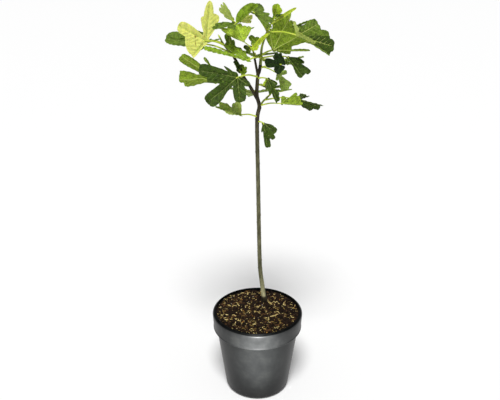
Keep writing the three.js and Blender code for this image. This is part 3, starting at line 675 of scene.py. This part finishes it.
def soft_green(name, low, high, size=9, roughness=0.62, net=0.0):
    """Green stem or leaf skin with short hairs: a low satin that light sinks into, paler in patches
    and, on a leaf, along the net of its smallest veins."""
    made, tree, shader, place = begin(
        name, IOR=1.38, Roughness=roughness, Specular_IOR_Level=0.25, Subsurface_Weight=0.4,
        Subsurface_Radius=(0.7, 1, 0.3), Subsurface_Scale=1.5 * MM)
    patches = add(tree, "ShaderNodeTexNoise", {"Vector": place},
                  {"Scale": scale_for(size), "Detail": 4, "Roughness": 0.6})
    tint = add(tree, "ShaderNodeValToRGB", {"Fac": patches.outputs["Fac"]},
               stops=[(0.38, low), (0.64, high)])
    surface = tint.outputs["Color"]
    hairs = add(tree, "ShaderNodeTexNoise", {"Vector": place},
                {"Scale": scale_for(LEAF_HAIR), "Detail": 2})
    bump = add(tree, "ShaderNodeBump", {"Height": hairs.outputs["Fac"]},
               {"Strength": 0.22, "Distance": 0.5 * MM})
    if net:
        cells = add(tree, "ShaderNodeTexVoronoi", {"Vector": place}, {"Scale": scale_for(NET_CELL)},
                    feature="DISTANCE_TO_EDGE")
        lines = add(tree, "ShaderNodeMapRange", {"Value": cells.outputs["Distance"]},
                    {"From Min": 0, "From Max": 0.16, "To Min": net, "To Max": 0})
        paler = add(tree, "ShaderNodeMix", {"Factor": lines.outputs[0], "A": surface},
                    {"B": colour(shade(high, 1.35))}, data_type="RGBA")
        surface = paler.outputs["Result"]
        bump = add(tree, "ShaderNodeBump", {"Height": lines.outputs[0], "Normal": bump.outputs["Normal"]},
                   {"Strength": 0.6, "Distance": 0.8 * MM}, invert=True)
    wire(tree, shader, Base_Color=surface, Normal=bump.outputs["Normal"])
    return made


# ---- pot and mulch ----

def body_radius(height):
    """The outer radius of the pot's wall at a height."""
    return FOOT_RADIUS + (SHOULDER_RADIUS - FOOT_RADIUS) * height / BAND_FOOT


def pot_outside():
    """The outer profile, from the middle of the underside to the top of the rim."""
    foot_middle = body_radius(FOOT_ROUND) - FOOT_ROUND
    widest = POT_HEIGHT - RIM_DROP
    underside = [(HUB_RADIUS, 0), (FLAT_RADIUS, 0)]
    foot = arc(foot_middle, FOOT_ROUND, FOOT_ROUND, start=-90, end=-6, steps=8)
    wall = [(body_radius(z), z) for z in np.linspace(FIRST_RING, BAND_FOOT - 3, 6)]
    shoulder = [(SHOULDER_RADIUS - 0.1, BAND_FOOT - 0.8), (SHOULDER_RADIUS + 0.8, BAND_FOOT),
                (BAND_FOOT_RADIUS - 1.5, BAND_FOOT)]
    turned_up = arc(BAND_FOOT_RADIUS - 1.3, BAND_FOOT + 1.5, 1.5, start=-70, end=60, steps=4)
    band = [(BAND_FOOT_RADIUS - 0.6, BAND_FOOT + 4), (BAND_FOOT_RADIUS - 0.4, BAND_FOOT + 8),
            (BAND_FOOT_RADIUS + 0.6, widest - 12)]
    rim = arc(RIM_RADIUS - RIM_ROUND, widest, RIM_ROUND, start=0, end=65, steps=6)
    lip = [(LIP_RADIUS + 3.4, POT_HEIGHT - 0.2)]
    return underside + foot + wall + shoulder + turned_up + band + rim + lip


def pot_within():
    """The inner profile, from the rim's top down the wall to the middle of the floor."""
    foot = body_radius(FLOOR) - WALL
    lip = [(LIP_RADIUS + 3, POT_HEIGHT), (LIP_RADIUS + 1, POT_HEIGHT),
           (LIP_RADIUS + 0.2, POT_HEIGHT - 0.4), (LIP_RADIUS, POT_HEIGHT - 1.2)]
    shelf = [(LIP_RADIUS, SHELF + 4), (SHOULDER_RADIUS - WALL, SHELF - 4)]
    corner = [(foot - 6, FLOOR + 6), (foot - 12, FLOOR)]
    return lip + shelf + corner + [(HUB_RADIUS, FLOOR)]


def make_pot(outside, inside):
    """The pot, turned as one closed shell, with near-black plastic along the lip and within: painted
    shade within and a painted dark reflection along the lip.
    """
    piece = turned("nursery_pot", pot_outside() + pot_within(), POT_SIDES)
    finished(piece, "pot", ["pot"], outside, inside)
    for face in piece.data.polygons:
        x, y, z = face.center / MM
        across = math.hypot(x, y)
        # The lip and the inner side take the near-black plastic, as painted shade and a painted dark
        # reflection.
        lip = z > POT_HEIGHT - LIP_DROP
        if z > SHELF:
            within = across < LIP_RADIUS + 0.6
        else:
            within = across < body_radius(z) - WALL / 2 and z > FLOOR / 2
        face.material_index = 1 if lip or within else 0
    smooth_sides(piece, crease=35)


def mulch_level(across):
    """The mulch's height at a distance from the middle."""
    fall = np.clip((across - CROWN_RADIUS) / (MULCH_RADIUS - CROWN_RADIUS), 0, 1)
    return GROUND - (GROUND - MULCH_EDGE) * fall


def lumps(x, y):
    """How far the mulch stands above or below its level."""
    return sum(height * noise.noise(Vector((x / wide, y / wide, layer)))
               for height, wide, layer in LUMPS)


def drift(x, y, layer):
    """How thickly one kind of bit lies at a place, from 0 to 1."""
    share = DRIFT_SHARE + DRIFT_SWING * noise.noise(Vector((x / DRIFT_WIDE, y / DRIFT_WIDE, layer)))
    return min(max(share, DRIFT_LEAST), 1)


def make_mulch_bed(material):
    """The bed of fine compost, turned to fill the pot, with lumps in its top."""
    under = [(max(r - 0.5, HUB_RADIUS), z + 0.3) for r, z in reversed(pot_within()) if z <= SHELF + 4]
    top = [(r, float(mulch_level(r))) for r in np.linspace(MULCH_RADIUS, 3, 44)]
    piece = turned("mulch_bed", under + top, POT_SIDES)
    points = coords(piece)
    for k, (x, y, z) in enumerate(points):
        if z > SHELF + 10:
            points[k][2] += lumps(x, y)
    put_coords(piece, points)
    finished(piece, "mulch", ["potting_mulch"], material)
    smooth_sides(piece, crease=60)


def turn_about(axis, angle):
    """A turn about the axis of that number."""
    c, s = math.cos(angle), math.sin(angle)
    i, j = [(1, 2), (2, 0), (0, 1)][axis]
    made = np.eye(3)
    made[i, i], made[i, j], made[j, i], made[j, j] = c, -s, s, c
    return made


def scattered(rng, count, size, wide, thick, bend, layer):
    """Bits of mulch in drifts over the bed: each a rough block, lying near level, clear of the rim."""
    heap = Bundle()
    block = np.array([(x, y, z) for z in (-1, 1) for y in (-1, 1) for x in (-1, 0, 1)], float)
    faces = [(0, 1, 7, 6), (1, 2, 8, 7), (4, 3, 9, 10), (5, 4, 10, 11), (3, 4, 1, 0), (4, 5, 2, 1),
             (6, 7, 10, 9), (7, 8, 11, 10), (3, 0, 6, 9), (2, 5, 11, 8)]
    for _ in range(count):
        long = rng.uniform(*size)
        across = math.sqrt(rng.uniform(0, 1)) * (LIP_RADIUS - 1.5 - long / 2)
        turn = rng.uniform(0, 2 * np.pi)
        x, y = across * math.cos(turn), across * math.sin(turn)
        if rng.uniform(0, 1) > drift(x, y, layer):
            continue
        half = np.array([long, rng.uniform(*wide), rng.uniform(*thick)]) / 2
        points = block * half * rng.uniform(*BIT_ROUGH, block.shape)
        points[np.abs(block[:, 0]) < 0.5, 2] += rng.uniform(-bend, bend) * long
        yaw = rng.uniform(0, 2 * np.pi)
        pitch = rng.normal(0, BIT_PITCH)
        roll = rng.normal(0, BIT_ROLL)
        points = points @ (turn_about(2, yaw) @ (turn_about(1, pitch) @ turn_about(0, roll))).T
        lift = abs(math.sin(pitch)) * half[0] * 0.6 + half[2] * 0.5
        points += (x, y, float(mulch_level(across)) + lumps(x, y) + lift)
        heap.add(points, faces)
    return heap


def make_mulch_bits():
    """The loose bits, one joined mesh a kind, and one long straw that lies across the bed."""
    for k, (name, low, high, *sizes) in enumerate(MULCH_BITS):
        heap = scattered(np.random.default_rng(BIT_SEED + k), *sizes, DRIFT_LAYER + k)
        if name == "slivers_straw":
            ends = [(x, y, float(mulch_level(math.hypot(x, y))) + 2 * STRAW_RADIUS)
                    for x, y in STRAW_ENDS]
            heap.tube(smooth_line(ends, np.linspace(0, 1, 8)), np.full(8, STRAW_RADIUS), sides=6)
        piece = heap.piece("mulch_" + name)
        piece.data.shade_flat()
        finished(piece, "mulch", ["potting_mulch"], wood_bits("dry_" + name, low, high))


# ---- limbs ----

def limb_line(limb, step):
    """A limb's line in even steps, its radii, and the distance along it."""
    guides, start, end = LIMBS[limb]
    fine = np.linspace(0, 1, 400)
    run = run_of(smooth_line(guides, fine))
    count = max(int(run[-1] / step), 6)
    places = np.linspace(0, run[-1], count + 1)
    shares = np.interp(places, run, fine)
    line = smooth_line(guides, shares)
    radii = start + (end - start) * shares
    if limb == "trunk":
        radii = radii + ROOT_SWELL * np.exp(-np.maximum(line[:, 2] - GROUND, 0) / ROOT_SWELL_HEIGHT)
    return line, radii, places


def bark_relief(run, turn, spacing, height, seed):
    """A ring at each old leaf, two fifths of a turn apart, with the leaf's raised scar and its hollow."""
    rng = np.random.default_rng(seed)
    relief = np.zeros(np.broadcast(run, turn).shape)
    for k, place in enumerate(np.arange(0.6 * spacing, run.max() - 2, spacing)):
        above = run - place - rng.uniform(-0.2, 0.2) * spacing
        off = turn - math.radians(LEAF_TURN * k) - rng.uniform(-0.3, 0.3)
        off = (off + np.pi) % (2 * np.pi) - np.pi
        relief += 0.3 * height * np.exp(-(above / 0.9) ** 2)
        relief += height * np.exp(-(above / 2.4) ** 2 - (off / 0.6) ** 2)
        relief -= 0.7 * height * np.exp(-(above / 1.1) ** 2 - (off / 0.3) ** 2)
    return relief


def make_limb(limb, name, nodes, material, spacing, height, seed):
    """A limb's skin, rolled from a flat grid round the limb's line, with the bark's relief."""
    line, radii, run = limb_line(limb, BARK_STEP)
    bpy.ops.object.select_all(action="DESELECT")
    bpy.ops.mesh.primitive_grid_add(x_subdivisions=LIMB_SIDES, y_subdivisions=len(line) - 1, size=MM)
    piece = bpy.context.object
    piece.name = name
    turn = 2 * np.pi * np.arange(LIMB_SIDES) / LIMB_SIDES
    relief = bark_relief(run[:, None], turn[None, :], spacing, height, seed)
    skin = round_rings(line, radii[:, None] + relief, LIMB_SIDES)
    rough = np.array([[noise.noise(Vector(p) / BARK_GRAIN) for p in ring] for ring in skin])
    skin = round_rings(line, radii[:, None] + relief + BARK_ROUGH * rough, LIMB_SIDES)
    skin = np.concatenate([skin, skin[:, :1]], axis=1)
    put_coords(piece, skin.reshape(-1, 3))
    bpy.ops.object.mode_set(mode="EDIT")
    bpy.ops.mesh.select_all(action="SELECT")
    bpy.ops.mesh.remove_doubles(threshold=0.01 * MM)
    bpy.ops.mesh.select_all(action="DESELECT")
    bpy.ops.mesh.select_non_manifold()
    bpy.ops.mesh.fill_holes(sides=0)
    bpy.ops.mesh.select_all(action="SELECT")
    bpy.ops.mesh.normals_make_consistent(inside=False)
    bpy.ops.object.mode_set(mode="OBJECT")
    finished(piece, "bark", nodes, material)
    smooth_sides(piece, crease=50)


def make_shoots(material):
    """The green shoots that carry the leaves, with a ring at each leaf."""
    heap = Bundle()
    turn = 2 * np.pi * np.arange(SHOOT_SIDES) / SHOOT_SIDES
    for k, limb in enumerate(SHOOTS):
        line, radii, run = limb_line(limb, SHOOT_STEP)
        relief = bark_relief(run[:, None], turn[None, :], spacing=11, height=0.35, seed=20 + k)
        heap.tube(line, radii[:, None] + relief, SHOOT_SIDES)
    finished(heap.piece("green_shoots"), "leaves", FOLIAGE_NODES, material)


def make_buds(material):
    """A pointed bud on each shoot's tip, and a small one above each leaf stalk."""
    heap = Bundle()
    shares = np.linspace(0, 1, len(BUD_SWELL))
    swell = np.array(BUD_SWELL)
    length, radius = TIP_BUD
    for limb in SHOOTS:
        line, _, _ = limb_line(limb, SHOOT_STEP)
        along = unit(line[-1] - line[-2])
        heap.tube(line[-1] + np.outer(shares * length - 0.5, along), radius * swell, sides=10)
    length, radius = SIDE_BUD
    for row in LEAVES:
        seat, joint = stalk_ends(row)
        out = unit(unit(joint - seat) + np.array([0, 0, 1.2]))
        base = seat + unit(joint - seat) * 1.5
        heap.tube(base + np.outer(shares * length, out), radius * swell, sides=8)
    finished(heap.piece("leaf_buds"), "leaves", FOLIAGE_NODES, material)


# ---- leaves ----

def stalk_ends(row):
    """Where a leaf's stalk leaves its limb, and where its blade begins."""
    seat = limb_point(row.limb, row.at)
    azimuth, rise, length = row.stalk
    return seat, seat + length * heading(azimuth, rise)


def blade_axes(row):
    """The blade's directions: along the midrib, across it, and up out of its upper side."""
    azimuth, rise, roll = row.lie[:3]
    along = heading(azimuth, rise)
    up = unit(np.array([0, 0, 1.0]) - along * along[2])
    face = math.cos(math.radians(roll)) * up + math.sin(math.radians(roll)) * np.cross(up, along)
    return along, np.cross(face, along), face


def reach(row, angle):
    """How far the blade reaches at an angle from its midrib, as a share of its length."""
    ear = np.clip((NOTCH - np.abs(angle)) / (NOTCH - row.ears), 0.1, 1)
    web = row.sinus * ear
    far = web
    for axis, length, half_width, *own in row.lobes:
        blunt = own[0] if own else row.point
        bump = np.exp(-math.log(2) * np.abs((angle - axis) / half_width) ** blunt)
        far = np.maximum(far, web + (length - web) * bump)
    return far


def ribs_of(row):
    """The angles of a blade's main veins."""
    return RIBS.get(row.name) or [lobe[0] for lobe in row.lobes]


def nearest_axis(axes, angle):
    """The axis that an angle is nearest to, and the next one beyond it."""
    axes = np.sort(axes)
    which = np.abs(np.asarray(angle)[..., None] - axes).argmin(-1)
    ends = np.concatenate([[-180], axes, [180]])
    axis = axes[which]
    return axis, np.where(angle > axis, ends[which + 2], ends[which])


def pinched(row, angle, out):
    """The angle moved towards its lobe's axis where the lobe has its neck."""
    axis, beyond = nearest_axis([lobe[0] for lobe in row.lobes], angle)
    off = angle - axis
    part = np.minimum(2 * np.abs(off) / np.abs(beyond - axis), 1)
    near = np.exp(-((out - NECK_SHARE) / NECK_SPREAD) ** 2)
    return angle - np.sign(off) * row.pinch * np.sin(np.pi * part) * near


def size_share(row, least):
    """The size of a blade's detail, as a share of what it is on a full blade."""
    return least + (1 - least) * row.length / FULL_BLADE


def vein_gap(row):
    """How far apart the side veins leave a main vein."""
    return SIDE_VEIN_GAP * size_share(row, 0.6)


def puff(row, angle, out):
    """The blade's relief: sunk along its veins and puffed up between them."""
    axis, _ = nearest_axis(ribs_of(row), angle)
    off = np.radians(angle - axis)
    beside = np.abs(out * np.sin(off)) * row.length
    back = out * np.cos(off) * row.length - beside / math.tan(math.radians(SIDE_VEIN_TURN))
    quilt = 0.5 * (1 - np.cos(2 * np.pi * back / vein_gap(row))) * (1 - np.exp(-(beside / 3) ** 2))
    groove = np.exp(-(beside / 2.6) ** 2)
    return PUFF * size_share(row, 0.4) * (0.75 * quilt - 0.8 * groove)


def blade_points(row, angle, out, lift=0.0):
    """Points of the folded blade, at an angle from its midrib and a share of its length."""
    length = row.length
    _, joint = stalk_ends(row)
    along, across, face = blade_axes(row)
    turned_by = np.radians(pinched(row, angle, out))
    x = length * out * np.cos(turned_by)
    flat = length * out * np.sin(turned_by)
    ripple = row.ripple * length * out ** 2 * np.sin(row.ripples * turned_by)
    wave = ripple + puff(row, angle, out) + lift
    fold = math.radians(row.fold) * np.tanh(np.abs(flat) / (RIDGE * length))
    y = flat * np.cos(fold) - np.sign(flat) * wave * np.sin(fold)
    z = wave * np.cos(fold) + np.abs(flat) * np.sin(fold)
    return joint + x[..., None] * along + y[..., None] * across + z[..., None] * face


def edge_angles(row, first, last):
    """Angles round the blade in even steps of its edge, and how far each stands out in a tooth."""
    fine = np.linspace(first, last, 1601)
    out = reach(row, fine)
    turned_by = np.radians(pinched(row, fine, out))
    edge = row.length * np.stack([out * np.cos(turned_by), out * np.sin(turned_by)], axis=1)
    run = run_of(edge)
    places = np.linspace(0, run[-1], int(POINTS_A_TOOTH * run[-1] / TOOTH_GAP) + 1)
    uneven = 0.65 + 0.35 * np.sin(places / 11 + row.length)
    tooth = TOOTH * uneven * (1.6 * np.abs(np.sin(np.pi * places / TOOTH_GAP)) - 1)
    angles = np.interp(places, run, fine)
    for rib in ribs_of(row):
        if first < rib < last:
            angles[np.abs(angles - rib).argmin()] = rib
    return angles, tooth


def tone_parts(row):
    """The tones of a blade, each with the angles that it goes from and to."""
    tones = FOLD_LIGHT_SHADE_TONES.get(row.name, [(row.tone, NOTCH)])
    starts = [-NOTCH] + [end for _, end in tones]
    return [(tone, start, end) for (tone, end), start in zip(tones, starts)]


def add_blade(heap, row, first, last):
    """One blade's upper skin: rings of points from the joint out to its toothed edge."""
    angles, tooth = edge_angles(row, first, last)
    rings = max(int(row.length / RING_GAP), 7)
    shares = (np.arange(1, rings + 1) / rings) ** 0.8
    out = reach(row, angles)[:, None] * shares[None, :]
    out[:, -1] += tooth / row.length
    grid = blade_points(row, np.broadcast_to(angles[:, None], out.shape), out)
    middle = blade_points(row, np.zeros(1), np.zeros(1))
    faces = []
    for here in range(1, 1 + (len(angles) - 1) * rings, rings):
        after = here + rings
        faces.append([0, here, after])
        faces += [[here + k, here + k + 1, after + k + 1, after + k] for k in range(rings - 1)]
    heap.add(np.vstack([middle, grid.reshape(-1, 3)]), faces)


def make_blades(tone, upper, under):
    """All blades of one tone, skinned on both sides."""
    heap = Bundle()
    for row in LEAVES:
        for part_tone, first, last in tone_parts(row):
            if part_tone == tone:
                add_blade(heap, row, first, last)
    piece = heap.piece("leaves_" + tone)
    finished(piece, "leaves", FOLIAGE_NODES, upper, under)
    only(piece)
    skin = piece.modifiers.new("thickness", "SOLIDIFY")
    skin.thickness = LEAF_THICK * MM
    skin.offset = -1
    skin.material_offset = 1
    skin.material_offset_rim = 1
    bpy.ops.object.modifier_apply(modifier=skin.name)
    smooth_sides(piece, crease=60)


def side_vein(row, axis, start, side):
    """Angles and shares along a side vein, from its main vein out towards the edge."""
    angles, outs = [], []
    x, y = start, 0.0
    turn = math.radians(SIDE_VEIN_TURN)
    for _ in range(30):
        out = math.hypot(x, y)
        angle = axis + side * math.degrees(math.atan2(y, x))
        astray = nearest_axis(ribs_of(row), angle)[0] != axis
        if abs(angle) > NOTCH or astray or out > SIDE_VEIN_END * reach(row, angle):
            break
        angles.append(angle)
        outs.append(out)
        x += math.cos(turn) * SIDE_VEIN_STEP / row.length
        y += math.sin(turn) * SIDE_VEIN_STEP / row.length
    return np.array(angles), np.array(outs)


def add_veins(heap, row):
    """The veins of one blade, standing proud of both sides: the main ones, and side veins off them."""
    size = size_share(row, 0.45)
    gap = vein_gap(row)
    for axis in ribs_of(row):
        length = float(reach(row, axis))
        outs = np.linspace(0, MAIN_VEIN_END * length, max(int(row.length * length / 4), 5))
        line = blade_points(row, np.full(outs.shape, float(axis)), outs, VEIN_LIFT)
        heap.tube(line, np.linspace(*MAIN_VEIN, len(outs)) * size, sides=5)
        for start in np.arange(gap, LAST_SIDE_VEIN * length * row.length, gap) / row.length:
            for side in (-1, 1):
                angles, outs = side_vein(row, axis, start, side)
                if len(angles) > 2:
                    line = blade_points(row, angles, outs, VEIN_LIFT)
                    heap.tube(line, np.linspace(*SIDE_VEIN, len(outs)) * size, sides=3)


def make_veins(name, tones, material):
    """The veins of all blades of some tones."""
    heap = Bundle()
    for row in LEAVES:
        if row.tone in tones:
            add_veins(heap, row)
    finished(heap.piece(name), "leaves", FOLIAGE_NODES, material)


def make_scars(material):
    """Rubbed streaks on the palest leaf, dried brown."""
    heap = Bundle()
    row = next(row for row in LEAVES if row.tone == PALE)
    shares = np.linspace(0, 1, 7)
    for start, end, wide in SCARS:
        angles, outs = (np.interp(shares, [0, 1], pair) for pair in zip(start, end))
        line = blade_points(row, angles, outs, SCAR_LIFT)
        heap.tube(line, wide * (1.15 - np.abs(2 * shares - 1)), sides=6)
    finished(heap.piece("leaf_scars"), "leaves", FOLIAGE_NODES, material)


def make_stalks(material):
    """Leaf stalks, swollen where they leave the limb, and run on under the blade."""
    heap = Bundle()
    for row in LEAVES:
        seat, joint = stalk_ends(row)
        length = row.stalk[2]
        middle = (seat + joint) / 2 + (0, 0, STALK_BOW * length)
        sunk = joint + blade_axes(row)[0] * STALK_SINK
        shares = np.linspace(0, 1, max(int(length / 2.5), 8))
        line = smooth_line([seat, middle, joint, sunk], shares)
        run = run_of(line)
        start, end = (least + more * row.length / FULL_BLADE for least, more in (STALK_START, STALK_END))
        radii = np.interp(shares, [0, 0.6, 1], [start, end, end * 0.7])
        heap.tube(line, radii * (1 + 0.45 * np.exp(-(run / 5) ** 2)), sides=8)
    finished(heap.piece("leaf_stalks"), "leaves", FOLIAGE_NODES, material)


# ---- scene ----

def make_camera():
    """The camera, in front of the tree and looking down on the pot."""
    data = bpy.data.cameras.new("camera")
    data.lens = LENS
    data.sensor_width = 36
    camera = bpy.data.objects.new("camera", data)
    camera.location = CAMERA_AT
    camera.rotation_euler = (math.radians(90 - CAMERA_DOWN), 0, 0)
    bpy.context.collection.objects.link(camera)
    bpy.context.scene.camera = camera


def make_floor():
    """Matt white paint: a pale floor with no sheen."""
    bpy.ops.object.select_all(action="DESELECT")
    bpy.ops.mesh.primitive_circle_add(vertices=64, radius=STAGE_RADIUS, fill_type="NGON")
    floor = bpy.context.object
    floor.name = "floor"
    made, *_ = begin("matt_white_floor", Roughness=0.9, Base_Color=colour("#F4F4F4"))
    floor.data.materials.append(made)


def add_light(name, kind, place, tilt, turn, **settings):
    """A light at a place, tilted up from straight down and turned about the upright."""
    data = bpy.data.lights.new(name, kind)
    for setting, value in settings.items():
        setattr(data, setting, value)
    lamp = bpy.data.objects.new(name, data)
    lamp.location = place
    lamp.rotation_euler = (math.radians(tilt), 0, math.radians(turn))
    lamp.visible_camera = False
    bpy.context.collection.objects.link(lamp)
    return lamp


def make_lights():
    """A white room, a soft light from high in front, and a low narrow one on the pot's front."""
    world = bpy.data.worlds.new("soft_white_room")
    world.use_nodes = True
    bpy.context.scene.world = world
    background = world.node_tree.nodes["Background"]
    background.inputs["Color"].default_value = (1, 1, 1, 1)
    background.inputs["Strength"].default_value = ROOM_LIGHT
    add_light("high_front_light", "SUN", (0, 0, 0), tilt=29, turn=-4,
              energy=3.2, angle=math.radians(20))
    low = add_light("low_front_light", "SPOT", (0, -1.3, 0.04), tilt=95.5, turn=0,
                    energy=440, shadow_soft_size=0.03, spot_size=math.radians(14), spot_blend=1)
    low.scale = (LOW_LIGHT_WIDTH, 1, 1)


def make_leaves():
    """Blades of each tone with a paler and a darker green, their veins, and the scars of one."""
    for tone, (upper, under) in TONES.items():
        vary = VARY_PLAIN if tone in (PALE, FELTED) else VARY
        make_blades(
            tone,
            soft_green("leaf_%s_upper" % tone, shade(upper, 1 - vary), shade(upper, 1 + vary), net=0.3),
            soft_green("leaf_%s_under" % tone, shade(under, 1 - VARY_UNDER),
                       shade(under, 1 + VARY_UNDER), size=7, roughness=0.75, net=0.5))
    make_veins("veins_light", (MID, YOUNG, LIME, FELTED, PALE),
               soft_green("leaf_vein", "#A5B454", "#C2CE70"))
    make_veins("veins_dark", (DEEP, DULL), soft_green("leaf_vein_dark", "#66763A", "#84924E"))
    make_scars(wood_bits("dried_leaf_scar", "#6E5020", "#94743A", size=3))


def build():
    """The whole tree, its pot and the scene."""
    make_camera()
    bpy.context.scene.view_settings.view_transform = "Standard"
    make_pot(pot_plastic(), pot_inside())
    make_mulch_bed(wood_bits("potting_compost", "#0F0A06", "#26180F", size=4, roughness=0.95))
    make_mulch_bits()
    bark = fig_bark()
    make_limb("trunk", "trunk_bark", ["trunk"], bark, spacing=27, height=0.8, seed=3)
    for k, part in enumerate(("left", "middle", "right")):
        make_limb(part, "bough_%s_bark" % part, ["bough_" + part], bark,
                  spacing=12, height=0.6, seed=5 + k)
    make_shoots(soft_green("green_shoot", "#5E6B2C", "#8C9A44", size=5))
    make_buds(soft_green("leaf_bud", "#A9B93E", "#D3DC6A", size=4))
    make_stalks(soft_green("leaf_stalk", "#AFC23A", "#D2DD5E", size=12))
    make_leaves()
    make_floor()
    make_lights()


build()
